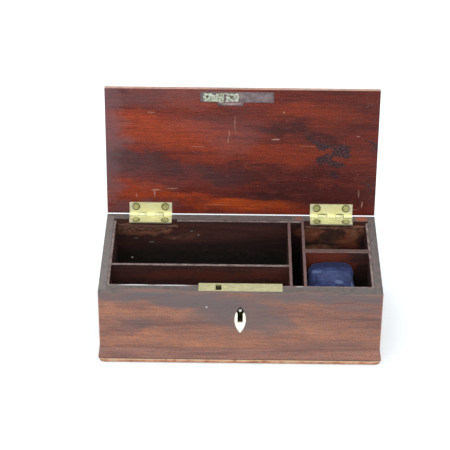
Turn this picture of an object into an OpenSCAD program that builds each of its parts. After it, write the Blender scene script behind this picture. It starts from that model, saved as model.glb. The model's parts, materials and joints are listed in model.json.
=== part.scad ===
// Divided mahogany box: hinged lid, brass stop butts, box lock, kite escutcheon, lined and divided inside.
// Frame: origin at the centre of the base's underside, +X right, +Y to the hinged back, +Z up.
// The lid is drawn open against its stop, which is where its joint reads zero.

/* [Box] */
// Width of the body over the end boards
box_w = 240; // [206:1:320]
// Depth of the body over the front and back boards
box_d = 122; // [100:1:160]
// Height from the underside of the base to the rim
box_h = 73; // [61:1:100]
// Thickness of the front board, which holds the lock
front_t = 10; // [8.5:0.5:12]
// Thickness of the back board
back_t = 8; // [6.5:0.5:10]
// Thickness of the end boards
end_t = 6.5; // [5:0.5:9]
// Wood that covers the end grain of an end board at each corner
corner_lip = 3; // [2:0.5:5]
// Thickness of the bottom board
bottom_t = 4.4; // [3:0.2:7]
// Radius of the rounding under the bottom board's edge
bottom_round = 1.6; // [0.8:0.2:2.4]
// Radius of the bottom board's corners in plan
bottom_corner = 7; // [3:0.5:8]

/* [Base moulding] */
// Height of the moulding above the bottom board
moulding_h = 11; // [7:0.5:16]
// Thickness of the moulding at its foot
moulding_t = 3.2; // [2.4:0.2:5]
// How far the foot stands out from the body
moulding_out = 1.5; // [0.8:0.1:2.2]
// Height of the upright foot under the hollow
moulding_foot = 2; // [1:0.5:4]

/* [Lining and dividers] */
// Thickness of the lining boards
lining_t = 2.2; // [1.6:0.2:3]
// How far linings and dividers stop below the rim
lining_drop = 0.5; // [0.3:0.1:2]
// Depth that the rear lining is cut away behind the hinges
lining_cut = 4.7; // [3.5:0.1:8]
// Thickness of the thin dividers
divider_t = 2.4; // [1.8:0.2:3.2]
// Thickness of the short divider in the right bay
short_divider_t = 5.2; // [2:0.2:7]
// Depth of the grooves that hold the dividers
groove_d = 0.8; // [0.5:0.1:1]
// Front to back room of the long front tray
front_tray_d = 29.5; // [22:0.5:45]
// Width of the narrow slot between the two cross dividers
slot_w = 9.8; // [7:0.2:16]
// Width of the right bay
right_bay_w = 55; // [44:1:60]
// Front to back room of the pincushion's compartment
right_front_d = 52; // [40:1:60]

/* [Lid] */
// Thickness of the lid board
lid_t = 5; // [4.6:0.1:8]
// Radius of the rounding along the lid's upper edges
lid_round = 1.4; // [0.6:0.2:2]
// Angle from shut to the stop
lid_open = 95; // [80:1:110]
// Gap between the rim and the shut lid
lid_gap = 0.15; // [0.1:0.05:0.3]

/* [Hinges] */
// Length of each hinge
hinge_l = 38; // [30:1:46]
// Distance from the box's end to the hinge
hinge_inset = 20; // [14:1:26]
// Width of a leaf, from the pin's centre to its edge
leaf_w = 12; // [10:0.5:12.6]
// Thickness of a leaf
leaf_t = 1.2; // [0.9:0.1:1.5]
// Radius of the knuckles
knuckle_r = 2; // [1.7:0.1:2.4]
// Radius of the hinge pin
pin_r = 0.8; // [0.6:0.1:1]
// Distance of the pin's centre behind the back board
hinge_back = 0.9; // [0.6:0.1:1.2]
// Radius of the screw heads
screw_head_r = 3; // [2.4:0.1:3.2]
// Radius of the screw shanks
screw_shank_r = 1.1; // [0.8:0.1:1.4]
// Distance of the screws from the pin's centre
screw_row = 8.2; // [7.4:0.1:8.6]
// Distance of the screws from the ends of a leaf
screw_end = 5.8; // [4.4:0.1:8]

/* [Lock] */
// Length of the lock's top plate
selvedge_w = 71; // [60:1:76]
// Depth of the top plate, front to back
selvedge_d = 11.6; // [10.8:0.1:13]
// Thickness of the top plate
selvedge_t = 1.6; // [1.2:0.1:2]
// Wood left between the box's face and the top plate
lock_setback = 3; // [2.5:0.1:3.5]
// Width of the lock case
case_w = 46; // [42:1:54]
// Height of the lock case under the top plate
case_h = 33; // [31:1:38]
// Thickness of the case walls and the cap
case_t = 1.2; // [0.8:0.1:1.5]
// Distance of the keyhole's round part below the rim
keyhole_drop = 19.3; // [18.5:0.1:20.5]
// Radius of the keyhole's round part
keyhole_r = 3.2; // [2.6:0.1:3.6]
// Width of the keyhole's slot
keyhole_slot = 4.5; // [4:0.1:5]
// Length from the centre of the round part to the slot's foot
keyhole_leg = 11.3; // [9:0.1:12]
// Radius of the drill pin that the key fits over
drill_pin_r = 1.4; // [1:0.1:1.6]
// Travel of the bolt
bolt_travel = 5; // [4:0.5:6]
// Centre of the staple's hole, to the left of the lock's middle
staple_x = 18.6; // [17.6:0.1:18.8]

/* [Escutcheon] */
// Height of the kite
kite_h = 27.6; // [26:0.2:34]
// Width of the kite
kite_w = 9.6; // [9:0.2:14]
// Distance of the kite's top point below the rim
kite_drop = 13.6; // [12:0.2:15]
// Thickness of the bone
kite_t = 1.6; // [1:0.1:2]
// Length of the broken-off top of the bone
kite_lost = 8; // [6:0.5:9]

/* [Strike plate] */
// Length of the recess in the lid
strike_w = 64; // [58:1:70]
// Front to back size of the recess
strike_d = 10.2; // [9:0.2:11]
// Depth of the recess
strike_t = 1.1; // [0.8:0.1:1.3]
// Distance of the recess from the lid's front edge
strike_inset = 2.6; // [2:0.1:3]
// Length of plate that is left
plate_left = 34; // [30:1:40]

/* [Pincushion] */
// Width of the cushion
cushion_w = 42; // [30:1:42]
// Distance of the cushion's crown below the rim
cushion_drop = 7.4; // [4:0.2:20]
// Gap left between the cushion and the walls that it stands against
cushion_gap = 0.8; // [0.5:0.1:2]

/* [Hidden] */
$fn = 72;

fit = 0.05;                 // clearance on each side of a glued or let-in piece
run = 0.15;                 // clearance round a moving piece
over = 1;                   // how far a cutter runs past the face that it opens
pin_fit = 0.05;             // radial clearance of a hinge pin in its knuckles
leaf_gap = 0.2;             // gap between the two leaves when the lid is shut
cushion_lift = 0.2;         // clearance under the cushion
cushion_round = 7;          // radius of the cushion's corners
cushion_crown = 3;          // height of its crown above its front shoulders
cushion_fall = 1;           // how much lower its rear shoulders are
crown_share = 0.45;         // place of its crown, as a share of its width
heel_l = 4.6;               // reach of a hinge's stop heel behind the pin's centre

half_w = box_w / 2;
half_d = box_d / 2;
rebate = moulding_t - moulding_out;
in_x = half_w - end_t;              // inner face of the end boards
in_front = -half_d + front_t;       // inner face of the front board
in_back = half_d - back_t;          // inner face of the back board
bay_x = in_x - lining_t;            // inner face of the end linings
bay_front = in_front + lining_t;    // inner face of the front lining
bay_back = in_back - lining_t;      // inner face of the rear lining
lining_top = box_h - lining_drop;

long_y = bay_front + front_tray_d;              // front face of the long divider
right_x = bay_x - right_bay_w - divider_t;      // left face of the right cross divider
left_x = right_x - slot_w - divider_t;          // left face of the left cross divider
short_y = bay_front + right_front_d;            // front face of the short divider

axis_y = half_d + hinge_back;
axis_z = box_h + lid_gap - leaf_t - leaf_gap / 2;
hinge_x = half_w - hinge_inset - hinge_l / 2;
leaf_bed = box_h - axis_z + leaf_gap / 2 + leaf_t;    // depth of the leaf's bed in the rim
knuckle_l = hinge_l / 5;
lid_front = axis_y + half_d;                          // distance from the pin to the lid's front edge
body_screw_l = 9;
lid_screw_l = 4.4;
screw_slot_w = 0.7;
screw_slot_deep = 0.55;
lid_z = box_h + lid_gap;                              // inner face of the shut lid

selv_front = -half_d + lock_setback;
selv_z = box_h - selvedge_t;
case_front = selv_front + 0.6;
case_z = selv_z - case_h;
key_z = box_h - keyhole_drop;
cap_y = bay_front + fit;
lock_screw_r = 0.9;
lock_screw_head = 1.9;
lock_screw_l = 7;
cap_ear = 6;                          // how far the cap runs past the case at each side
cap_foot = 2;                         // how far it runs below the case
ear_screw = 3.2;                      // distance of the lock's screws from the case's side
ear_screw_up = 4;                     // height of the lower screws above the case's foot
ear_screw_down = 6;                   // depth of the upper screws below the top plate
cushion_h = box_h - cushion_drop - bottom_t - cushion_lift;
staple_w = 4.2;
staple_d = 5.4;
staple_hole_w = 5;
staple_hole_d = 8.4;
staple_y = selv_front + 5.8;          // middle of the staple
staple_out = 2.8;                     // how far the broken staple stands out of the lid
staple_hollow = 1.5;                  // radius of what is left of the eye that the bolt passed through
bolt_y = case_front + 2.4;
bolt_t = 3;
bolt_top = selv_z - 2;
bar_h = 4.4;                          // height of the bolt's bar
talon_h = 5;                          // depth of the two talons that the key turns between
talon_in = 3.2;                       // half the width between them at their root
talon_out = 4.4;                      // half that width at their foot
talon_end = 8;                        // left side of the left talon
stud_x = 8;
stud_r = 1;
stud_z = bolt_top - bar_h / 2;
spring_bow = 1.1;
spring_l = 13;
spring_t = 0.4;
drill_pin_out = 1.6;                  // how far the drill pin stands out of the case

kite_slant = 9;                       // slope of the bone's broken edge, in degrees
kite_tongue = 2;                      // how far the middle of that edge stands above its ends

strike_x = -staple_x - 18;            // left end of the strike plate's recess
strike_y = -half_d + strike_inset;    // front edge of the recess
scar_x = -10.5;                       // middle of the torn wood behind the recess
scar_r = 11.5;
scar_d = 3.4;
rivet_r = 1.1;
rivet_l = 3.4;
rivet_in = 6;                         // distance of the rivets from the plate's ends
rivet_up = 5.3;                       // distance of the rivets from the recess's front edge

brad_r = 0.9;
brad_l = 17;
brad_head_r = 1.35;
brad_head_t = 0.5;
brad_sunk = 0.1;                      // depth of the heads in the bottom board
chip_reach = 5;                       // how far the rear lining's cut runs past the left hinge
brad_x = [-0.42, -0.15, 0.15, 0.42];  // places along the front and back boards, as shares of the width
brad_y = [-0.2, 0.2];                 // places along the end boards, as shares of the depth

// ---------- shared shapes ----------

module box_between(low, high) {
    translate(low) cube(high - low);
}

// rectangle with its two upper corners rounded, resting on y = 0
module top_rounded(w, h, r) {
    translate([-w / 2, 0]) square([w, h - r]);
    translate([-w / 2 + r, 0]) square([w - 2 * r, h]);
    for (s = [-1, 1]) translate([s * (w / 2 - r), h - r]) circle(r = r);
}

// flat board in plan, w by d, whose upper edges are all rounded
module rounded_board(w, d, t, r) {
    intersection() {
        rotate([90, 0, 0]) linear_extrude(height = d, center = true) top_rounded(w, t, r);
        rotate([90, 0, 90]) linear_extrude(height = w, center = true) top_rounded(d, t, r);
    }
}

// countersunk screw driven down from z = 0
module wood_screw(head_r, shank_r, length, slot_turn) {
    head_h = head_r - shank_r;
    difference() {
        union() {
            translate([0, 0, -head_h]) cylinder(r1 = shank_r, r2 = head_r, h = head_h);
            translate([0, 0, -length]) cylinder(r = shank_r, h = length - head_h);
        }
        rotate([0, 0, slot_turn]) cube([3 * head_r, screw_slot_w, 2 * screw_slot_deep], center = true);
    }
}

// the hole that such a screw needs
module screw_hole(head_r, shank_r, length) {
    head_h = head_r - shank_r;
    translate([0, 0, -head_h]) cylinder(r1 = shank_r + fit, r2 = head_r + fit, h = head_h);
    translate([0, 0, -length - fit]) cylinder(r = shank_r + fit, h = length);
    translate([0, 0, -fit]) cylinder(r = head_r + fit, h = over);
}

// ---------- boards ----------

module moulding_bed() {
    difference() {
        box_between([-half_w - over, -half_d - over, bottom_t - over],
                    [half_w + over, half_d + over, bottom_t + moulding_h + fit]);
        box_between([-half_w + rebate, -half_d + rebate, bottom_t - 2 * over],
                    [half_w - rebate, half_d - rebate, bottom_t + moulding_h + over]);
    }
}

module brad_places() {
    for (x = brad_x, s = [-1, 1])
        translate([x * box_w, s > 0 ? half_d - back_t / 2 : -half_d + front_t / 2, 0]) children();
    for (y = brad_y, s = [-1, 1])
        translate([s * (half_w - end_t / 2), y * box_d, 0]) children();
}

module brad_holes() {
    brad_places() translate([0, 0, -over]) cylinder(r = brad_r + fit / 2, h = brad_l + over + fit);
}

// front or back board, from y0 to y1, with rebates that take the end boards behind a lip
module long_board(y0, y1, lip0, lip1) {
    difference() {
        box_between([-half_w, y0, bottom_t], [half_w, y1, box_h]);
        for (s = [-1, 1])
            box_between([s > 0 ? in_x : -half_w - over, lip0, bottom_t - over],
                        [s > 0 ? half_w + over : -in_x, lip1, box_h + over]);
        moulding_bed();
        brad_holes();
    }
}

module front_board() {
    color([0.36, 0.16, 0.11]) difference() {
        long_board(-half_d, in_front, -half_d + corner_lip, in_front + over);
        lock_bed();
        translate([0, -half_d - over, 0]) keyhole(front_t);
        escutcheon_bed();
    }
}

module back_board() {
    color([0.34, 0.15, 0.10]) difference() {
        long_board(in_back, half_d, in_back - over, half_d - corner_lip);
        hinge_beds();
        hinge_sides() body_screw_places() screw_hole(screw_head_r, screw_shank_r, body_screw_l);
    }
}

module end_board(s) {
    x0 = s > 0 ? in_x : -half_w;
    color([0.34, 0.15, 0.10]) difference() {
        box_between([x0, -half_d + corner_lip, bottom_t], [x0 + end_t, half_d - corner_lip, box_h]);
        moulding_bed();
        brad_holes();
    }
}
module left_end_board() { end_board(-1); }
module right_end_board() { end_board(1); }

module bottom_board() {
    w = box_w + 2 * moulding_out;
    d = box_d + 2 * moulding_out;
    color([0.50, 0.28, 0.16]) difference() {
        intersection() {
            translate([0, 0, bottom_t]) mirror([0, 0, 1]) rounded_board(w, d, bottom_t, bottom_round);
            translate([0, 0, -over]) linear_extrude(height = bottom_t + 2 * over)
                offset(r = bottom_corner, $fn = 96)
                    square([w - 2 * bottom_corner, d - 2 * bottom_corner], center = true);
        }
        brad_holes();
        brad_places() translate([0, 0, -over])
            cylinder(r = brad_head_r + fit, h = over + brad_sunk + brad_head_t);
    }
}

module base_brads() {
    color([0.35, 0.33, 0.30]) brad_places() {
        translate([0, 0, brad_sunk]) cylinder(r = brad_head_r, h = brad_head_t);
        translate([0, 0, brad_sunk + brad_head_t / 2]) cylinder(r = brad_r, h = brad_l - brad_head_t);
    }
}

// ---------- base moulding ----------

// section of the moulding: x outward from the rebate, y up; the hollow is one arc, upright at its top
module moulding_section() {
    hollow_h = moulding_h - moulding_foot;
    hollow_r = (hollow_h * hollow_h + moulding_out * moulding_out) / (2 * moulding_out);
    difference() {
        square([moulding_t, moulding_h]);
        translate([rebate + hollow_r, moulding_h]) circle(r = hollow_r, $fn = 360);
    }
}

// a strip on the side that faces +Y, mitred at both ends
module moulding_strip(side, half) {
    a = side / 2 - rebate;
    b = side / 2 + moulding_out;
    translate([0, half - rebate, bottom_t]) intersection() {
        rotate([90, 0, 90]) linear_extrude(height = side + 4 * moulding_out, center = true)
            moulding_section();
        translate([0, 0, -over]) linear_extrude(height = moulding_h + 2 * over)
            polygon([[-a, 0], [a, 0], [b, moulding_t], [b, moulding_t + over],
                     [-b, moulding_t + over], [-b, moulding_t]]);
    }
}
module moulding_front() { color([0.30, 0.12, 0.09]) rotate([0, 0, 180]) moulding_strip(box_w, half_d); }
module moulding_back() { color([0.30, 0.12, 0.09]) moulding_strip(box_w, half_d); }
module moulding_left() { color([0.30, 0.12, 0.09]) rotate([0, 0, 90]) moulding_strip(box_d, half_w); }
module moulding_right() { color([0.30, 0.12, 0.09]) rotate([0, 0, -90]) moulding_strip(box_d, half_w); }

// ---------- linings and dividers ----------

module divider_between(x0, x1, y0, y1) {
    box_between([x0, y0, bottom_t], [x1, y1, lining_top]);
}

// the groove for a divider, a little wider and longer than its tongue
module groove(x0, x1, y0, y1) {
    box_between([x0 - fit, y0 - fit, bottom_t - over], [x1 + fit, y1 + fit, box_h + over]);
}

module cross_divider_shape(x, grow) {
    if (grow) groove(x, x + divider_t, bay_front - groove_d, bay_back + groove_d);
    else divider_between(x, x + divider_t, bay_front - groove_d, bay_back + groove_d);
}
module long_divider_shape(grow) {
    if (grow) groove(-bay_x - groove_d, left_x + groove_d, long_y, long_y + divider_t);
    else divider_between(-bay_x - groove_d, left_x + groove_d, long_y, long_y + divider_t);
}
module short_divider_shape(grow) {
    x0 = right_x + divider_t - groove_d;
    if (grow) groove(x0, bay_x + groove_d, short_y, short_y + short_divider_t);
    else divider_between(x0, bay_x + groove_d, short_y, short_y + short_divider_t);
}

module lining_front() {
    color([0.42, 0.24, 0.17]) difference() {
        divider_between(-in_x, in_x, in_front, bay_front);
        for (x = [left_x, right_x]) cross_divider_shape(x, true);
        lock_bed();
    }
}

module lining_back() {
    cut_z = box_h - lining_cut;
    color([0.42, 0.24, 0.17]) difference() {
        divider_between(-in_x, in_x, bay_back, in_back);
        for (x = [left_x, right_x]) cross_divider_shape(x, true);
        box_between([-in_x - over, bay_back - over, cut_z],
                    [-hinge_x + hinge_l / 2 + chip_reach, in_back + over, box_h + over]);
        box_between([right_x + divider_t, bay_back - over, cut_z],
                    [in_x + over, in_back + over, box_h + over]);
        hinge_beds();
        hinge_sides() body_screw_places() screw_hole(screw_head_r, screw_shank_r, body_screw_l);
    }
}

module end_lining(s) {
    x0 = s > 0 ? bay_x : -in_x;
    color([0.42, 0.24, 0.17]) difference() {
        divider_between(x0, x0 + lining_t, bay_front, bay_back);
        long_divider_shape(true);
        short_divider_shape(true);
    }
}
module lining_left() { end_lining(-1); }
module lining_right() { end_lining(1); }

module long_divider() { color([0.46, 0.30, 0.24]) long_divider_shape(false); }

module cross_divider_left() {
    color([0.46, 0.30, 0.24]) difference() {
        cross_divider_shape(left_x, false);
        long_divider_shape(true);
        hinge_beds();
    }
}

module cross_divider_right() {
    color([0.46, 0.30, 0.24]) difference() {
        cross_divider_shape(right_x, false);
        short_divider_shape(true);
        hinge_beds();
    }
}

module short_divider() { color([0.46, 0.30, 0.24]) short_divider_shape(false); }

// ---------- lock ----------

// the room let into the front board and its lining for the case and the top plate
module lock_bed() {
    box_between([-case_w / 2 - fit, case_front - fit, case_z - fit],
                [case_w / 2 + fit, bay_front + over, box_h + over]);
    box_between([-selvedge_w / 2 - fit, selv_front - fit, selv_z - fit],
                [selvedge_w / 2 + fit, bay_front + over, box_h + over]);
    lock_screw_places() screw_hole(lock_screw_head, lock_screw_r, lock_screw_l);
}

// keyhole, cut towards +Y to the given depth
module keyhole(depth) {
    translate([0, 0, key_z]) rotate([-90, 0, 0]) {
        cylinder(r = keyhole_r, h = depth + over);
        translate([-keyhole_slot / 2, 0, 0]) cube([keyhole_slot, keyhole_leg, depth + over]);
    }
}

module lock_screw_places() {
    for (sx = [-1, 1], z = [case_z + ear_screw_up, selv_z - ear_screw_down])
        translate([sx * (case_w / 2 + ear_screw), cap_y + case_t, z]) rotate([-90, 0, 0]) children();
}

module lock_selvedge() {
    color([0.82, 0.79, 0.55]) difference() {
        box_between([-selvedge_w / 2, selv_front, selv_z],
                    [selvedge_w / 2, selv_front + selvedge_d, box_h]);
        translate([-staple_x, staple_y, box_h])
            cube([staple_hole_w, staple_hole_d, 3 * selvedge_t], center = true);
    }
}

module lock_case() {
    low = [-case_w / 2, case_front, case_z];
    high = [case_w / 2, cap_y, selv_z];
    color([0.68, 0.62, 0.40]) {
        difference() {
            box_between(low, high);
            box_between(low + [case_t, case_t, case_t], high + [-case_t, over, over]);
            translate([0, case_front - over, 0]) keyhole(case_t + over);
        }
        translate([stud_x, case_front + case_t / 2, stud_z]) rotate([-90, 0, 0])
            cylinder(r = stud_r, h = bolt_y + bolt_t + stud_r - case_front - case_t / 2);
    }
}

module lock_cap() {
    ear_x = case_w / 2 + cap_ear;
    color([0.70, 0.64, 0.42]) difference() {
        box_between([-ear_x, cap_y, case_z - cap_foot], [ear_x, cap_y + case_t, selv_z]);
        lock_screw_places() screw_hole(lock_screw_head, lock_screw_r, lock_screw_l);
        translate([0, cap_y - over, key_z]) rotate([-90, 0, 0])
            cylinder(r = drill_pin_r + fit / 2, h = case_t + 2 * over);
    }
}

// the bolt: a bar whose nose slides under the staple's hole, with the two talons that the key turns between
module lock_bolt() {
    nose = -staple_x + staple_hole_w / 2 + stud_r;
    bar = bolt_top - bar_h;
    foot = bar - talon_h;
    tail = stud_x + stud_r + bolt_travel + bolt_t;
    color([0.74, 0.70, 0.52]) translate([0, bolt_y + bolt_t, 0]) rotate([90, 0, 0])
        linear_extrude(height = bolt_t) difference() {
            polygon([[nose, bolt_top], [nose, bar], [-talon_end, bar], [-talon_end, foot],
                     [-talon_out, foot], [-talon_in, bar], [talon_in, bar], [talon_out, foot],
                     [tail, foot], [tail, bolt_top]]);
            for (x = [stud_x, stud_x + bolt_travel]) translate([x, stud_z]) circle(r = stud_r + run);
            translate([stud_x, stud_z - stud_r - run]) square([bolt_travel, 2 * (stud_r + run)]);
        }
}

// flat spring between the bolt and the top plate, bent in one shallow arc
module lock_spring() {
    r = (spring_l * spring_l / 4 + spring_bow * spring_bow) / (2 * spring_bow);
    width = bolt_t - 4 * run;
    color([0.55, 0.56, 0.58]) translate([stud_x, bolt_y + bolt_t - 2 * run, bolt_top + run])
        rotate([90, 0, 0]) linear_extrude(height = width) intersection() {
            translate([0, r]) difference() {
                circle(r = r, $fn = 180);
                circle(r = r - spring_t, $fn = 180);
            }
            translate([-spring_l / 2, 0]) square([spring_l, spring_bow + spring_t]);
        }
}

module lock_drill_pin() {
    color([0.75, 0.75, 0.72]) translate([0, case_front - drill_pin_out, key_z]) rotate([-90, 0, 0])
        cylinder(r = drill_pin_r, h = cap_y + case_t - case_front + drill_pin_out);
}

module lock_screws() {
    color([0.60, 0.56, 0.42]) lock_screw_places()
        wood_screw(lock_screw_head, lock_screw_r, lock_screw_l, 35);
}

// ---------- escutcheon ----------

// the kite's outline: two arcs that meet in a point above and below
module kite_outline(grow) {
    hh = kite_h / 2;
    hw = kite_w / 2;
    r = (hh * hh + hw * hw) / (2 * hw);
    intersection() {
        translate([r - hw, 0]) circle(r = r + grow, $fn = 180);
        translate([hw - r, 0]) circle(r = r + grow, $fn = 180);
    }
}

module escutcheon_bed() {
    translate([0, -half_d + kite_t + fit, box_h - kite_drop - kite_h / 2]) rotate([90, 0, 0])
        linear_extrude(height = kite_t + over) kite_outline(fit);
}

module escutcheon() {
    mid_z = box_h - kite_drop - kite_h / 2;
    color([0.96, 0.93, 0.85]) difference() {
        translate([0, -half_d + kite_t, mid_z]) rotate([90, 0, 0]) linear_extrude(height = kite_t)
            difference() {
                kite_outline(0);
                translate([0, kite_h / 2 - kite_lost + kite_tongue]) rotate([0, 0, -kite_slant])
                    translate([-kite_w, 0]) square([2 * kite_w, kite_h]);
            }
        translate([0, -half_d - over, 0]) keyhole(kite_t + over);
    }
}

// ---------- hinges ----------

module hinge_sides() {
    for (s = [-1, 1]) translate([s * hinge_x, 0, 0]) children();
}

// screws of the body leaf, driven down into the back board
module body_screw_places() {
    for (s = [-1, 1])
        translate([s * (hinge_l / 2 - screw_end), axis_y - screw_row, axis_z - leaf_gap / 2]) children();
}

// screws of the lid leaf, driven up into the shut lid
module lid_screw_places() {
    for (s = [-1, 1])
        translate([s * (hinge_l / 2 - screw_end), axis_y - screw_row, axis_z + leaf_gap / 2])
            mirror([0, 0, 1]) children();
}

module on_axis(x, length, r) {
    translate([x, axis_y, axis_z]) rotate([0, 90, 0]) cylinder(r = r, h = length);
}

// leaf bed in the rim and room for the knuckles
module hinge_beds() {
    hinge_sides() {
        box_between([-hinge_l / 2 - run, axis_y - leaf_w - run, box_h - leaf_bed - fit],
                    [hinge_l / 2 + run, half_d + over, box_h + over]);
        on_axis(-hinge_l / 2 - run, hinge_l + 2 * run, knuckle_r + run);
    }
}

// a leaf with every second knuckle; side is -1 for the body leaf and 1 for the lid leaf
module leaf(side, own, other) {
    z0 = axis_z + (side > 0 ? leaf_gap / 2 : -leaf_gap / 2 - leaf_t);
    difference() {
        union() {
            difference() {
                box_between([-hinge_l / 2, axis_y - leaf_w, z0], [hinge_l / 2, axis_y, z0 + leaf_t]);
                for (k = other)
                    on_axis(-hinge_l / 2 + k * knuckle_l - 0.1, knuckle_l + 0.2, knuckle_r + run);
            }
            for (k = own) on_axis(-hinge_l / 2 + k * knuckle_l + 0.1, knuckle_l - 0.2, knuckle_r);
            if (side < 0) for (k = own) stop_heel(k);
        }
        on_axis(-hinge_l / 2 - over, hinge_l + 2 * over, pin_r + pin_fit);
    }
}

// heel behind a body knuckle, which the edge of the open lid comes to rest on
module stop_heel(k) {
    edge = axis_y - half_d;
    root = (pin_r + pin_fit + knuckle_r) / 2;
    translate([-hinge_l / 2 + k * knuckle_l, axis_y, axis_z]) rotate([-lid_open + 90, 0, 0])
        box_between([0.4, root, edge - 1.2], [knuckle_l - 0.4, heel_l, edge - 0.12]);
}

module body_leaf() {
    difference() {
        leaf(-1, [1, 3], [0, 2, 4]);
        body_screw_places() screw_hole(screw_head_r, screw_shank_r, body_screw_l);
    }
}

module lid_leaf() {
    difference() {
        leaf(1, [0, 2, 4], [1, 3]);
        lid_screw_places() screw_hole(screw_head_r, screw_shank_r, lid_screw_l);
    }
}

module hinge_pin() { on_axis(-hinge_l / 2, hinge_l, pin_r); }

module hinge_left_body_leaf() { color([0.84, 0.81, 0.56]) translate([-hinge_x, 0, 0]) body_leaf(); }
module hinge_right_body_leaf() { color([0.84, 0.81, 0.56]) translate([hinge_x, 0, 0]) body_leaf(); }
module hinge_left_lid_leaf() { color([0.86, 0.83, 0.58]) open_lid() translate([-hinge_x, 0, 0]) lid_leaf(); }
module hinge_right_lid_leaf() { color([0.86, 0.83, 0.58]) open_lid() translate([hinge_x, 0, 0]) lid_leaf(); }
module hinge_left_pin() { color([0.62, 0.58, 0.40]) translate([-hinge_x, 0, 0]) hinge_pin(); }
module hinge_right_pin() { color([0.62, 0.58, 0.40]) translate([hinge_x, 0, 0]) hinge_pin(); }

module hinge_body_screws() {
    color([0.66, 0.63, 0.42]) hinge_sides() body_screw_places()
        wood_screw(screw_head_r, screw_shank_r, body_screw_l, 20);
}

module hinge_lid_screws() {
    color([0.62, 0.60, 0.40]) open_lid() hinge_sides() lid_screw_places()
        wood_screw(screw_head_r, screw_shank_r, lid_screw_l, 25);
}

// ---------- lid ----------

// turns what is drawn shut to its open place
module open_lid() {
    translate([0, axis_y, axis_z]) rotate([-lid_open, 0, 0]) translate([0, -axis_y, -axis_z]) children();
}

module strike_bed() {
    box_between([strike_x, strike_y, lid_z - over],
                [strike_x + strike_w, strike_y + strike_d, lid_z + strike_t]);
    translate([scar_x, strike_y + strike_d, lid_z - over]) intersection() {
        cylinder(r = scar_r, h = strike_t + over);
        box_between([-scar_r, -over, 0], [scar_r, scar_d, strike_t + over]);
    }
}

module lid_board() {
    color([0.45, 0.17, 0.12]) open_lid() difference() {
        translate([0, 0, lid_z]) rounded_board(box_w, box_d, lid_t, lid_round);
        hinge_sides() {
            on_axis(-hinge_l / 2 - run, hinge_l + 2 * run, knuckle_r + run);
            lid_screw_places() screw_hole(screw_head_r, screw_shank_r, lid_screw_l);
        }
        strike_bed();
        rivet_places() translate([0, 0, -over]) cylinder(r = rivet_r + fit / 2, h = rivet_l + over + fit);
    }
}

module rivet_places() {
    for (x = [strike_x + rivet_in, strike_x + plate_left - rivet_in - rivet_r])
        translate([x, strike_y + rivet_up, lid_z]) children();
}

// what is left of the strike plate: ragged along its front, and snapped off short of the recess's right end
module strike_plate() {
    end = plate_left;
    back = strike_d - fit;
    color([0.72, 0.72, 0.66]) open_lid() difference() {
        translate([strike_x, strike_y, lid_z]) linear_extrude(height = strike_t - fit)
            polygon([[2, 2], [9, 1], [15, 2.6], [21, 1.6], [end - 1.5, 1.4], [end, 3.6],
                     [end - 1.6, 5.2], [end - 0.4, back - 1.2], [end - 2.4, back], [2, back]]);
        rivet_places() translate([0, 0, -over]) cylinder(r = rivet_r + fit / 2, h = rivet_l + over);
        translate([-staple_x, staple_y, lid_z])
            cube([staple_w + 2 * fit, staple_d + 2 * fit, 4 * strike_t], center = true);
    }
}

// stub of the staple that the bolt once passed through
module strike_staple() {
    color([0.76, 0.76, 0.70]) open_lid() difference() {
        translate([-staple_x, staple_y, lid_z - staple_out / 2 + (strike_t - fit) / 2])
            cube([staple_w, staple_d, staple_out + strike_t - fit], center = true);
        translate([-staple_x, staple_y, lid_z - staple_out]) rotate([0, 90, 0])
            cylinder(r = staple_hollow, h = 2 * staple_w, center = true);
    }
}

module strike_rivets() {
    color([0.60, 0.60, 0.55]) open_lid() rivet_places() {
        translate([0, 0, -0.05]) cylinder(r = rivet_r, h = rivet_l);
    }
}

// ---------- pincushion ----------

// a tall stuffed cushion: upright at its sides, with a low crown
module pincushion() {
    r = cushion_round;
    x0 = right_x + divider_t + cushion_gap;
    x1 = x0 + cushion_w;
    y0 = bay_front + cushion_gap;
    y1 = short_y - cushion_gap;
    z0 = bottom_t + cushion_lift;
    z1 = z0 + cushion_h;
    color([0.20, 0.22, 0.50]) hull() {
        for (x = [x0 + r, x1 - r]) {
            for (y = [y0 + r, y1 - r]) translate([x, y, z0 + r]) sphere(r = r, $fn = 28);
            translate([x, y0 + r, z1 - r - cushion_crown]) sphere(r = r, $fn = 28);
            translate([x, y1 - r, z1 - r - cushion_crown - cushion_fall]) sphere(r = r, $fn = 28);
        }
        translate([x0 + crown_share * cushion_w, (y0 + y1) / 2, z1 - 2 * r]) sphere(r = 2 * r, $fn = 28);
    }
}

front_board();
back_board();
left_end_board();
right_end_board();
bottom_board();
moulding_front();
moulding_back();
moulding_left();
moulding_right();
lining_front();
lining_back();
lining_left();
lining_right();
long_divider();
cross_divider_left();
cross_divider_right();
short_divider();
lock_selvedge();
lock_case();
lock_cap();
lock_bolt();
lock_spring();
lock_drill_pin();
lock_screws();
escutcheon();
base_brads();
hinge_left_body_leaf();
hinge_left_lid_leaf();
hinge_left_pin();
hinge_right_body_leaf();
hinge_right_lid_leaf();
hinge_right_pin();
hinge_body_screws();
hinge_lid_screws();
lid_board();
strike_plate();
strike_staple();
strike_rivets();
pincushion();
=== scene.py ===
"""A divided mahogany box with its lid open: finishes, a velvet cushion and broken details on the frame."""

import json
import math

import bmesh
import bpy
from mathutils import Matrix, Vector, noise


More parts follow.
